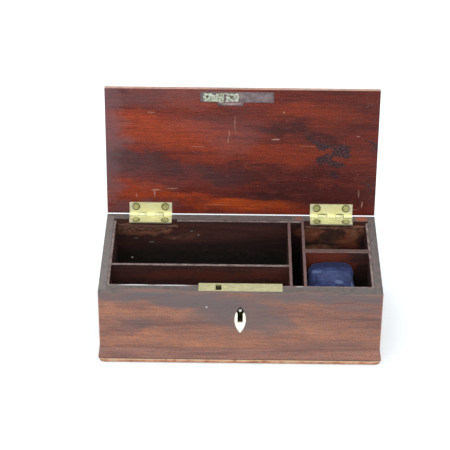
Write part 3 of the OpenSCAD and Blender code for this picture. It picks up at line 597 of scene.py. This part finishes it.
def velvet(crown_mm):
    """Blue velvet: painted light and highlights on its crown and in streaks, where the nap is worn pale, and
    painted shade on its back and in the folds.
    """
    finish = Finish("blue_velvet")
    finish.speckle = finish.noise(finish.x * 0.35, finish.y * 0.35, finish.z * 0.35, detail=4, rough=0.6)
    pile = finish.noise(finish.x * 3.0, finish.y * 3.0, finish.z * 3.0, detail=3, rough=0.7)
    lie = finish.noise(finish.x * 0.10, finish.y * 0.16, finish.z * 0.22, detail=3, rough=0.55, bend=1.0)
    colour = finish.ramp(lie, (0.32, srgb(20, 24, 54)), (0.5, srgb(34, 42, 80)), (0.68, srgb(52, 64, 104)))
    u, v = finish.x - crown_mm.x, finish.y - crown_mm.y
    # painted light on the crown and painted highlights in streaks, where the nap is also worn
    rubbed = finish.spots(u, v, [
        (-13, 6, 7, 3, 0.9), (6, -9, 5, 4, 1.0), (-1, 2, 17, 9, 0.35), (17.5, -11, 1.6, 6, 0.9),
        (2, -1, 20, 12, 0.25)], ragged=1.6, soft=0.9)
    colour = finish.mix(rubbed * 0.6, colour, srgb(108, 122, 158))
    # painted shade in the folds
    fold = finish.spots(u, v, [
        (-13, -6, 1.6, 7, 0.8), (-16, -12, 2, 6, 0.6), (10, -14, 8, 1.6, 0.4)], ragged=1.2)
    # painted shade over the cushion's back, joined with that in the folds
    deep = finish.fade(v + 3 * (finish.speckle - 0.5), 12.0, 13.6) | fold
    colour = finish.mix(deep * 0.9, colour, srgb(10, 15, 42))
    colour = finish.mix(finish.fade(finish.speckle, 0.55, 0.72) * 0.5, colour, srgb(20, 20, 56))
    colour = finish.mix(finish.fade(pile, 0.4, 0.75) * 0.26, colour, srgb(106, 114, 172))
    return finish.set(
        Base_Color=colour, Roughness=0.9, Sheen_Weight=0.35, Sheen_Roughness=0.35,
        Sheen_Tint=srgb(150, 160, 215), Normal=finish.bump(pile * 0.6 + finish.speckle * 0.4, 0.35),
        Specular_IOR_Level=0.2)


# ---------- shapes ----------

def wear(node, material, width_mm, sharp_deg=32):
    """Gives a node its finish and rounds its hard edges a little, as handling has: its faces are joined,
    flat ones are made whole, and edges sharper than sharp_deg are rounded by width_mm."""
    piece = nodes[node]
    if not piece.material_slots:
        piece.data.materials.append(material)
    for slot in piece.material_slots:
        slot.link = "OBJECT"
        slot.material = material
    if width_mm:
        weld = piece.modifiers.new("weld", "WELD")
        weld.merge_threshold = 1e-6
        flat = piece.modifiers.new("flat", "DECIMATE")
        flat.decimate_type = "DISSOLVE"
        flat.angle_limit = math.radians(1.0)
        soft = piece.modifiers.new("soft", "BEVEL")
        soft.width = width_mm * MM
        soft.segments = 2
        soft.limit_method = "ANGLE"
        soft.angle_limit = math.radians(sharp_deg)
        soft.use_clamp_overlap = True
        soft.harden_normals = True
    return piece


def shown(name, mesh, material, body):
    """A new piece of the object, riding on a body."""
    piece = bpy.data.objects.new(name, mesh)
    bpy.context.scene.collection.objects.link(piece)
    mesh.materials.clear()
    mesh.materials.append(material)
    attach(piece, body)
    return piece


def relief(name, size, step, inside, height, place):
    """A closed mesh over a grid of cells, size wide and deep: kept where inside(u, v) is true, with its
    upper side at height(u, v) and its lower side at 0. place turns millimetres in u, v and height into the
    row frame. Its outline is thinner than its middle by border_share, and nowhere thinner than skin."""
    border_share = 0.45
    skin = 0.04
    columns = int(size[0] / step)
    rows = int(size[1] / step)
    kept = {(i, j) for i in range(columns) for j in range(rows) if inside((i + 0.5) * step, (j + 0.5) * step)}
    shape = bmesh.new()
    corners = {}

    def corner(i, j, level):
        if (i, j, level) not in corners:
            u, v = i * step, j * step
            touched = [(i - 1, j - 1), (i, j - 1), (i - 1, j), (i, j)]
            border = not all(cell in kept for cell in touched)
            high = height(u, v) * (border_share if border else 1.0) if level else 0.0
            corners[i, j, level] = shape.verts.new(place @ Vector((u, v, max(high, skin * level))))
        return corners[i, j, level]

    for i, j in sorted(kept):
        around = [(i, j), (i + 1, j), (i + 1, j + 1), (i, j + 1)]
        shape.faces.new([corner(a, b, 1) for a, b in around])
        shape.faces.new([corner(a, b, 0) for a, b in reversed(around)])
        beyond = [(i, j - 1), (i + 1, j), (i, j + 1), (i - 1, j)]
        for side, cell in enumerate(beyond):
            if cell not in kept:
                a, b = around[side], around[(side + 1) % 4]
                shape.faces.new([corner(*a, 0), corner(*b, 0), corner(*b, 1), corner(*a, 1)])
    bmesh.ops.recalc_face_normals(shape, faces=shape.faces)
    for face in shape.faces:
        face.smooth = True
    mesh = bpy.data.meshes.new(name)
    shape.to_mesh(mesh)
    shape.free()
    return mesh


def wave(u, v, scale, seed):
    """Smooth noise from -1 to 1."""
    return noise.noise(Vector((u * scale, v * scale, seed)))


def make_strike_plate(material):
    """What is left of the tinned strike plate: ragged at the left and front, burst round the staple, with a
    burr round each rivet. u runs along its recess and v back from its front edge, in millimetres."""
    recess = Vector((-36.6, -HALF_D + 2.6, LID_FACE + PLATE_DEPTH))
    length, width = 34.6, 10.2
    rivets = [(6.0, 5.3), (26.9, 5.3)]
    creases = [(12.6, 0.5, 0.45), (23.0, 0.6, 0.4)]     # place along, width, height
    place = OPENING @ Matrix.Scale(MM, 4) @ Matrix.Translation(recess) @ Matrix.Diagonal((1, 1, -1, 1))

    def inside(u, v):
        left = 2.4 + 1.1 * wave(v, 0, 0.7, 4.0)
        right = 33.8 - abs(v - 5.0) * 0.18 + 0.7 * wave(v, 0, 0.9, 8.0)
        front = 1.5 + 1.3 * abs(wave(u, 0, 0.22, 2.0)) + 0.5 * wave(u, 0, 0.8, 5.0)
        back = 10.0 - 0.5 * abs(wave(u, 3, 0.5, 6.0))
        burst = 20.6 < u < 22.0 + 0.5 * wave(v, 0, 0.8, 3.0) and v > 2.6
        bite = (u - 12.0) ** 2 + (v - 1.6) ** 2 < 3.0
        return left < u < right and front < v < back and not burst and not bite

    def height(u, v):
        top = 0.72 + 0.26 * wave(u, v, 0.55, 1.0) + 0.14 * wave(u, v, 1.4, 7.0)
        for x, y in rivets:
            away = math.hypot(u - x, v - y)
            top += 0.34 * math.exp(-((away - 2.2) / 0.55) ** 2) - 0.35 * math.exp(-(away / 0.9) ** 2)
        top += sum(high * math.exp(-((u - at) / wide) ** 2) for at, wide, high in creases)
        return min(max(top, 0.3), PLATE_DEPTH)

    mesh = relief("strike_plate_remains", (length, width), 0.3, inside, height, place)
    piece = shown("strike_plate_remains", mesh, material, "lid")
    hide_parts("strike_plate")
    return piece


def make_lid_scar(material):
    """Fibres standing in the torn patch behind the strike plate."""
    corner = Vector((-22.0, -HALF_D + 12.7, LID_FACE + PLATE_DEPTH))
    place = OPENING @ Matrix.Scale(MM, 4) @ Matrix.Translation(corner) @ Matrix.Diagonal((1, 1, -1, 1))

    def inside(u, v):
        reach = 3.1 * math.sqrt(max(0.0, 1 - ((u - 11.5) / 10.6) ** 2)) + 0.5 * wave(u, 0, 0.9, 2.0)
        return 0.3 < v < reach

    def height(u, v):
        return min(0.45 + 0.22 * wave(u * 0.25, v * 2.2, 1.0, 5.0) + 0.16 * v, 1.0)

    mesh = relief("lid_torn_fibres", (23.0, 4.0), 0.33, inside, height, place)
    return shown("lid_torn_fibres", mesh, material, "lid")


def make_lining_tear(name, material, start, length, drop, knob, seed):
    """Split wood along the top of the rear lining where it was cut away for a hinge. It hangs about drop mm
    down the lining's face, and curls up round the place knob along it."""
    face = in_mm("lining_back")[0].y
    deep = drop + 1.5
    low = RIM - LINING_CUT - deep
    turned = Matrix(((1, 0, 0, start), (0, 0, -1, face + 0.04), (0, 1, 0, low), (0, 0, 0, 1)))
    place = Matrix.Scale(MM, 4) @ turned

    def inside(u, v):
        ragged = 1.0 + 0.75 * wave(u, 0, 0.09, seed) + 0.35 * wave(u, 0, 0.5, seed + 3)
        hang = drop * ragged * (1 - 0.55 * (u / length) ** 2)
        return 0.6 < u < length - 0.6 and deep - v < hang and v < deep - 0.05

    def height(u, v):
        fibre = wave(u * 0.3, v * 1.6, 1.0, seed + 1)
        swell = 0.9 * math.exp(-((u - knob) / 3.2) ** 2)
        return 0.42 + 0.32 * fibre + 0.25 * wave(u, v, 0.35, seed + 2) + swell

    mesh = relief(name, (length, deep), 0.5, inside, height, place)
    return shown(name, mesh, material, "carcase")


def settle(piece, still, cap):
    """Blows the cloth up in a short simulation, with its still points held, and keeps every move under a
    cap. The cloth is simulated at ten times its size, where its stiffness suits its mesh."""
    scale = 10.0
    ticks = 20
    start = [vertex.co.copy() for vertex in piece.data.vertices]
    piece.data.transform(Matrix.Scale(scale, 4))
    group = piece.vertex_groups.new(name="held")
    group.add([i for i, co in enumerate(start) if still(co)], 1.0, "REPLACE")
    cloth = piece.modifiers.new("cloth", "CLOTH")
    cloth.settings.quality = 6
    cloth.settings.mass = 0.4
    cloth.settings.use_pressure = True
    cloth.settings.uniform_pressure_force = 4.0
    cloth.settings.shrink_min = -0.10
    cloth.settings.tension_stiffness = 12
    cloth.settings.compression_stiffness = 12
    cloth.settings.shear_stiffness = 4
    cloth.settings.bending_stiffness = 0.3
    cloth.settings.vertex_group_mass = "held"
    cloth.settings.effector_weights.gravity = 0.0
    cloth.collision_settings.use_collision = False
    cloth.point_cache.frame_start = 1
    cloth.point_cache.frame_end = ticks
    scene = bpy.context.scene
    for tick in range(1, ticks + 1):
        scene.frame_set(tick)
    shape = piece.evaluated_get(bpy.context.evaluated_depsgraph_get()).data
    moved = [vertex.co / scale for vertex in shape.vertices]
    piece.modifiers.remove(cloth)
    scene.frame_set(1)
    for vertex, before, after in zip(piece.data.vertices, start, moved):
        step = after - before
        if step.length > cap:
            step *= cap / step.length
        vertex.co = before + step


def make_pincushion(material, low, high):
    """A stuffed velvet cushion: a band of cloth gathered up to a round top, plumped and creased."""
    room = Vector((0.9, 0.9, 0.4)) * MM     # left for the cloth to swell into
    most_swell = 1.6 * MM
    boxy = 9.0                              # 2 is a ball, and a large number is a block
    back_taper = 0.24
    seam_share = 0.62                       # the seam's place, from the middle to the top
    seam_width = 1.2 * MM
    foot = 3 * MM                           # the part that stands still on the floor
    gathers_round = 21
    centre = (low + high) / 2
    half = (high - low) / 2 - room
    shape = bmesh.new()
    bmesh.ops.create_cube(shape, size=2.0)
    bmesh.ops.subdivide_edges(shape, edges=shape.edges, cuts=23, use_grid_fill=True)
    for vertex in shape.verts:
        p = vertex.co.copy()
        rounding = sum(abs(c) ** boxy for c in p) ** (1 / boxy)
        p = p / max(rounding, 1e-6) * max(abs(c) for c in p)
        p.x *= 1 - back_taper * (max(0.0, p.y - 0.4) / 0.6) ** 2
        crown = max(0.0, p.z) ** 2
        p.z -= crown * (0.03 * p.x ** 2 + 0.02 * p.y ** 2)
        waist = 1 - 0.05 * math.exp(-((p.z - seam_share) / 0.10) ** 2)
        p.x *= waist
        p.y *= waist
        vertex.co = centre + Vector((p.x * half.x, p.y * half.y, p.z * half.z))
    mesh = bpy.data.meshes.new("pincushion_velvet")
    shape.to_mesh(mesh)
    shape.free()
    piece = shown("pincushion_velvet", mesh, material, "carcase")
    seam = centre.z + seam_share * half.z
    settle(piece, lambda co: co.z < low.z + foot or abs(co.z - seam) < seam_width, most_swell)
    for vertex in mesh.vertices:
        co = vertex.co
        out = Vector((co.x - centre.x, co.y - centre.y, 0))
        if out.length < 1e-6:
            continue
        angle = math.atan2(out.y, out.x)
        near_seam = math.exp(-((co.z - seam) / (3.6 * MM)) ** 2)
        gathers = math.sin(gathers_round * angle + 2.2 * math.sin(3 * angle)) * near_seam
        crease = wave(co.x / MM, co.y / MM, 0.11, co.z / MM * 0.10)
        fold = -abs(wave(co.x / MM + 40, co.z / MM, 0.07, co.y / MM * 0.05)) * 1.5
        push = (0.55 * gathers + 0.9 * crease + fold * 0.7) * MM
        vertex.co = co + out.normalized() * push + Vector((0, 0, 0.7 * MM * crease))
    for vertex in mesh.vertices:
        vertex.co = Vector(min(max(vertex.co[k], low[k]), high[k]) for k in range(3))
    for face in mesh.polygons:
        face.use_smooth = True
    smooth = piece.modifiers.new("subdivision", "SUBSURF")
    smooth.levels = 1
    smooth.render_levels = 1
    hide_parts("pincushion")
    return piece


# ---------- finishing ----------

def finish_case():
    """The outside boards. A mark is its place along a board and up it, its half sizes and its strength."""
    front = case_wood(
        "front_mahogany", True, 2.4,
        veils=[(-86, 73, 64, 12, 1.0), (-40, 66, 40, 12, 0.85), (-8, 56, 48, 22, 0.85), (70, 70, 74, 8, 0.8),
               (16, 42, 34, 18, 0.7), (-96, 40, 30, 9, 0.35), (92, 58, 34, 7, 0.5), (30, 68, 64, 9, 0.6),
               (70, 18, 64, 7, 0.25)],
        glows=[(-62, 54, 30, 9, 0.9), (-88, 25, 44, 11, 1.0), (-10, 20, 70, 10, 0.95), (66, 34, 44, 14, 0.9),
               (-114, 55, 5, 22, 0.6), (106, 28, 16, 18, 0.6), (20, 26, 30, 9, 0.5)],
        rim_tint=srgb(146, 104, 92),
        specks=[(-28.5, 58.4, 0.8, 0.8, 0.8), (-72, 37, 0.5, 0.5, 0.4)],
        rim_marks=[(-78, -58, 32, 3.4, 0.6), (60, -59, 26, 2.4, 0.4), (-20, -60, 60, 1.2, 0.7)])
    back = case_wood(
        "back_mahogany", True, 11.0,
        veils=[(30, 55, 60, 12, 0.6), (-80, 40, 36, 16, 0.5), (0, 25, 90, 8, 0.4)],
        glows=[(-40, 40, 50, 12, 0.7), (80, 34, 34, 14, 0.7)],
        rim_marks=[(108, 57, 7, 7, 1.0), (52, 56, 5, 5, 0.6)])
    end = case_wood(
        "end_mahogany", False, 19.0,
        veils=[(10, 56, 40, 12, 0.7), (-40, 34, 20, 14, 0.5)],
        glows=[(-20, 38, 30, 10, 0.7), (36, 26, 22, 12, 0.7)], pale_end=True)
    wear("front_board", front, 0.5)
    wear("back_board", back, 0.5)
    for side in SIDES:
        wear(side + "_end_board", end, 0.5)
    strips = (("front", True, 3.0), ("back", True, 13.0), ("left", False, 23.0), ("right", False, 33.0))
    for side, lengthwise, seed in strips:
        wear("moulding_" + side, moulding_wood("moulding_" + side, lengthwise, seed), 0.35)
    wear("bottom_board", base_wood(), 0.3, 50)
    wear("lid_board", lid_wood(), 0.4)


def finish_inside():
    """The linings and dividers, and the wood torn from the rear lining. Marks are given as on the case."""
    raw_left = [(-86, 62, 28, 8, 0.8), (-62, 66, 8, 5, 0.8), (-100, 66, 14, 4, 0.9), (-50, 58, 18, 5, 0.25)]
    raw_right = [(72, 45, 22, 7, 0.9), (106, 62, 9, 9, 1.0), (64, 60, 14, 10, 0.7), (92, 58, 26, 14, 0.6)]
    back = lining_wood(
        "lining_back", True, 4.0, raw_marks=raw_left + raw_right,
        glow_marks=[(98, 54, 16, 12, 1.0), (66, 60, 18, 11, 0.8)],
        crumbs=[(-98, 33, 0.9, 0.9, 1.0), (-80, 50, 2.4, 0.5, 0.35), (-94, 54, 2.0, 0.5, 0.25),
                (-44, 62, 1.4, 0.5, 0.3), (-38, 58, 1.0, 0.8, 0.3), (-60, 54, 1.4, 0.5, 0.2)],
        # painted shadow of the lid and hinge on the back lining, and painted shade in its back corner
        cast_shadow_marks=[(84, 58, 14, 9, 0.7), (66, 50, 14, 1.0, 0.9), (84, 49, 16, 1.0, 0.8),
                   (110, 50, 5, 14, 0.6)])
    front = lining_wood(
        "lining_front", True, 15.0,
        chalk_marks=[(-88, 0, 20, 4, 1.0), (-58, 0, 22, 4, 0.85), (50, 0, 5, 4, 0.5)])
    tray = lining_wood("tray_divider", True, 24.0, glow_marks=[(-20, 62, 90, 6, 0.35)])
    short = lining_wood(
        "short_divider", True, 34.0, pink=0.8, ruddy=srgb(92, 62, 56),
        glow_marks=[(72, 66, 26, 12, 0.75), (60, 56, 9, 12, 0.9), (94, 55, 9, 8, 0.8)])
    across = lining_wood("lining_crosswise", False, 44.0)
    slot = lining_wood("cross_dividers", False, 54.0, pink=0.8)
    boards = {
        "lining_front": front, "lining_back": back, "lining_left": across, "lining_right": across,
        "long_divider": tray, "short_divider": short,
        "cross_divider_left": slot, "cross_divider_right": slot}
    for node, material in boards.items():
        wear(node, material, 0.25)
    raw = torn_wood("torn_lining", False, srgb(48, 29, 25), srgb(92, 56, 42), srgb(150, 108, 82))
    make_lining_tear("lining_tear_left", raw, -110.5, 55.0, 7.0, 52.0, 3.0)
    make_lining_tear("lining_tear_right", raw, 57.0, 53.5, 3.2, 46.0, 11.0)


def finish_metal():
    """Brass, steel, iron and tinned plate. A cut is its place across and along the hinge, its half sizes and
    its strength; seam is the line where a leaf meets its knuckles."""
    bright, dull, darkening = srgb(232, 230, 188), srgb(216, 214, 168), srgb(168, 162, 114)
    screws = [(x + side * (HINGE_HALF - SCREW_END), SCREW_LINE) for x in HINGE_X for side in (-1, 1)]
    ends = [(x + side * HINGE_HALF, SCREW_LINE, 5, 8, 0.6) for x in HINGE_X for side in (-1, 1)]
    seam = AXIS.y / MM - 2.5
    knuckle = HINGE_HALF * 2 / 5
    left, right = HINGE_X
    # the cuts paint shade, with some dirt, into the gaps between knuckles
    lid_cuts = [(x + side * knuckle, seam, 4.1, 0.45, strength)
                for x, strength in ((left, 0.3), (right, 0.9)) for side in (-1, 1)]
    lid_cuts += [(right - 1.5 * knuckle, seam + 1, 0.4, 1.6, 0.9),
                 (right - 0.5 * knuckle, seam + 1, 0.4, 1.6, 0.9)]
    body_cuts = [(right + 2 * knuckle, seam, 4.1, 0.45, 0.9), (right, seam, 3.6, 0.35, 0.35),
                 (right + 1.5 * knuckle, seam + 1.2, 0.45, 1.8, 0.9),
                 (left + 1.5 * knuckle, seam + 1.2, 0.5, 2.0, 0.9),
                 (left - 2 * knuckle, seam, 4.1, 0.4, 0.5), (right - 2 * knuckle, seam, 4.1, 0.4, 0.3)]
    body_brass = brass("body_leaf_brass", False, bright, dull, darkening,
                       screws=screws, cuts=body_cuts, ends=ends)
    # painted light: the lid's upright leaves and their screws take a paler, brighter copy of the hinge brass
    lit_lid_brass = brass("lit_lid_leaf_brass", True, srgb(255, 252, 196), srgb(250, 242, 176), srgb(190, 180, 116),
                      screws=screws, cuts=lid_cuts, ends=ends, metallic=0.35)
    pin_brass = brass("pin_brass", False, srgb(206, 196, 128), srgb(180, 168, 104), srgb(96, 86, 50))
    screw_body = brass("body_screw_brass", False,
                       srgb(206, 204, 150), srgb(176, 176, 124), srgb(110, 110, 74), rims=screws, rough=0.34)
    lit_screw_lid = brass("lit_lid_screw_brass", True,
                      srgb(232, 226, 160), srgb(196, 194, 132), srgb(116, 116, 76), rims=screws, rough=0.34)
    case_metal = brass("lock_case_brass", False,
                       srgb(120, 116, 78), srgb(84, 82, 52), srgb(40, 38, 24), rough=0.5)
    lock = brass("lock_brass", False,
                 srgb(228, 225, 176), srgb(206, 203, 158), srgb(150, 144, 104), rough=0.34)
    for side in SIDES:
        wear("hinge_" + side + "_body_leaf", body_brass, 0.14)
        wear("hinge_" + side + "_lid_leaf", lit_lid_brass, 0.14)
        wear("hinge_" + side + "_pin", pin_brass, 0.12)
    wear("hinge_body_screws", screw_body, 0.08)
    wear("hinge_lid_screws", lit_screw_lid, 0.08)
    wear("lock_selvedge", lock, 0.15)
    for node in ("lock_case", "lock_cap", "lock_bolt"):
        wear(node, case_metal, 0.15)
    steel = dull_metal("steel", False, srgb(226, 226, 222), srgb(150, 150, 146), srgb(110, 92, 74))
    iron = dull_metal("iron", False, srgb(96, 88, 82), srgb(66, 58, 52), srgb(104, 62, 40),
                      rough=0.6, metallic=0.7)
    tin = dull_metal("tinned_plate", True, srgb(206, 208, 190), srgb(150, 150, 132), srgb(80, 74, 62),
                     rough=0.4)
    # iron rivets, coloured dark as painted shade for the holes they sit in
    rivets = dull_metal("shaded_rivet_iron", True, srgb(120, 120, 98), srgb(84, 82, 62), srgb(60, 52, 40))
    wear("lock_spring", steel, 0)
    wear("lock_drill_pin", steel, 0.2)
    wear("lock_screws", screw_body, 0.08)
    wear("base_brads", iron, 0.1)
    wear("strike_staple", tin, 0.2)
    wear("strike_rivets", rivets, 0.2)
    make_strike_plate(tin)
    make_lid_scar(torn_wood("torn_lid", True, srgb(104, 76, 78), srgb(152, 122, 124), srgb(188, 164, 160)))


def make_stage():
    """A pale floor just under the base and a bright even sky, with a broad soft light above and a weaker one
    from the side. A light is its name, its place, its width in metres and its power in watts."""
    mesh = bpy.data.meshes.new("floor")
    shape = bmesh.new()
    bmesh.ops.create_grid(shape, x_segments=8, y_segments=8, size=8.0)
    shape.to_mesh(mesh)
    shape.free()
    floor = bpy.data.objects.new("floor", mesh)
    bpy.context.scene.collection.objects.link(floor)
    floor.location.z = -0.2 * MM
    paper = Finish("pale_floor")
    tone = paper.noise(paper.x * 0.004, paper.y * 0.004, 0.0, detail=2)
    mesh.materials.append(paper.set(
        Base_Color=paper.mix(tone * 0.3, srgb(240, 247, 250), srgb(247, 251, 252)), Roughness=0.7,
        Emission_Color=srgb(248, 252, 255), Emission_Strength=0.2))
    world = bpy.data.worlds.new("studio")
    world.use_nodes = True
    sky = world.node_tree.nodes["Background"]
    sky.inputs["Color"].default_value = (0.94, 0.975, 1.0, 1.0)
    sky.inputs["Strength"].default_value = 0.98
    bpy.context.scene.world = world
    lamps = (("overhead", (-0.5, -0.7, 1.9), 1.8, 14.0), ("side", (1.7, -1.4, 1.1), 1.2, 4.0))
    for name, place, size, power in lamps:
        lamp = bpy.data.lights.new(name, "AREA")
        lamp.shape = "DISK"
        lamp.size = size
        lamp.energy = power
        light = bpy.data.objects.new(name, lamp)
        bpy.context.scene.collection.objects.link(light)
        light.location = place
        light.rotation_euler = (Vector((0, 0, 0.06)) - Vector(place)).to_track_quat("-Z", "Y").to_euler()
    bpy.context.scene.view_settings.view_transform = "Standard"


make_camera()
make_stage()
finish_case()
finish_inside()
finish_metal()
wear("escutcheon", bone(), 0.15)
cushion_low, cushion_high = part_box("pincushion")
make_pincushion(velvet((cushion_low + cushion_high) / 2 / MM), cushion_low, cushion_high)
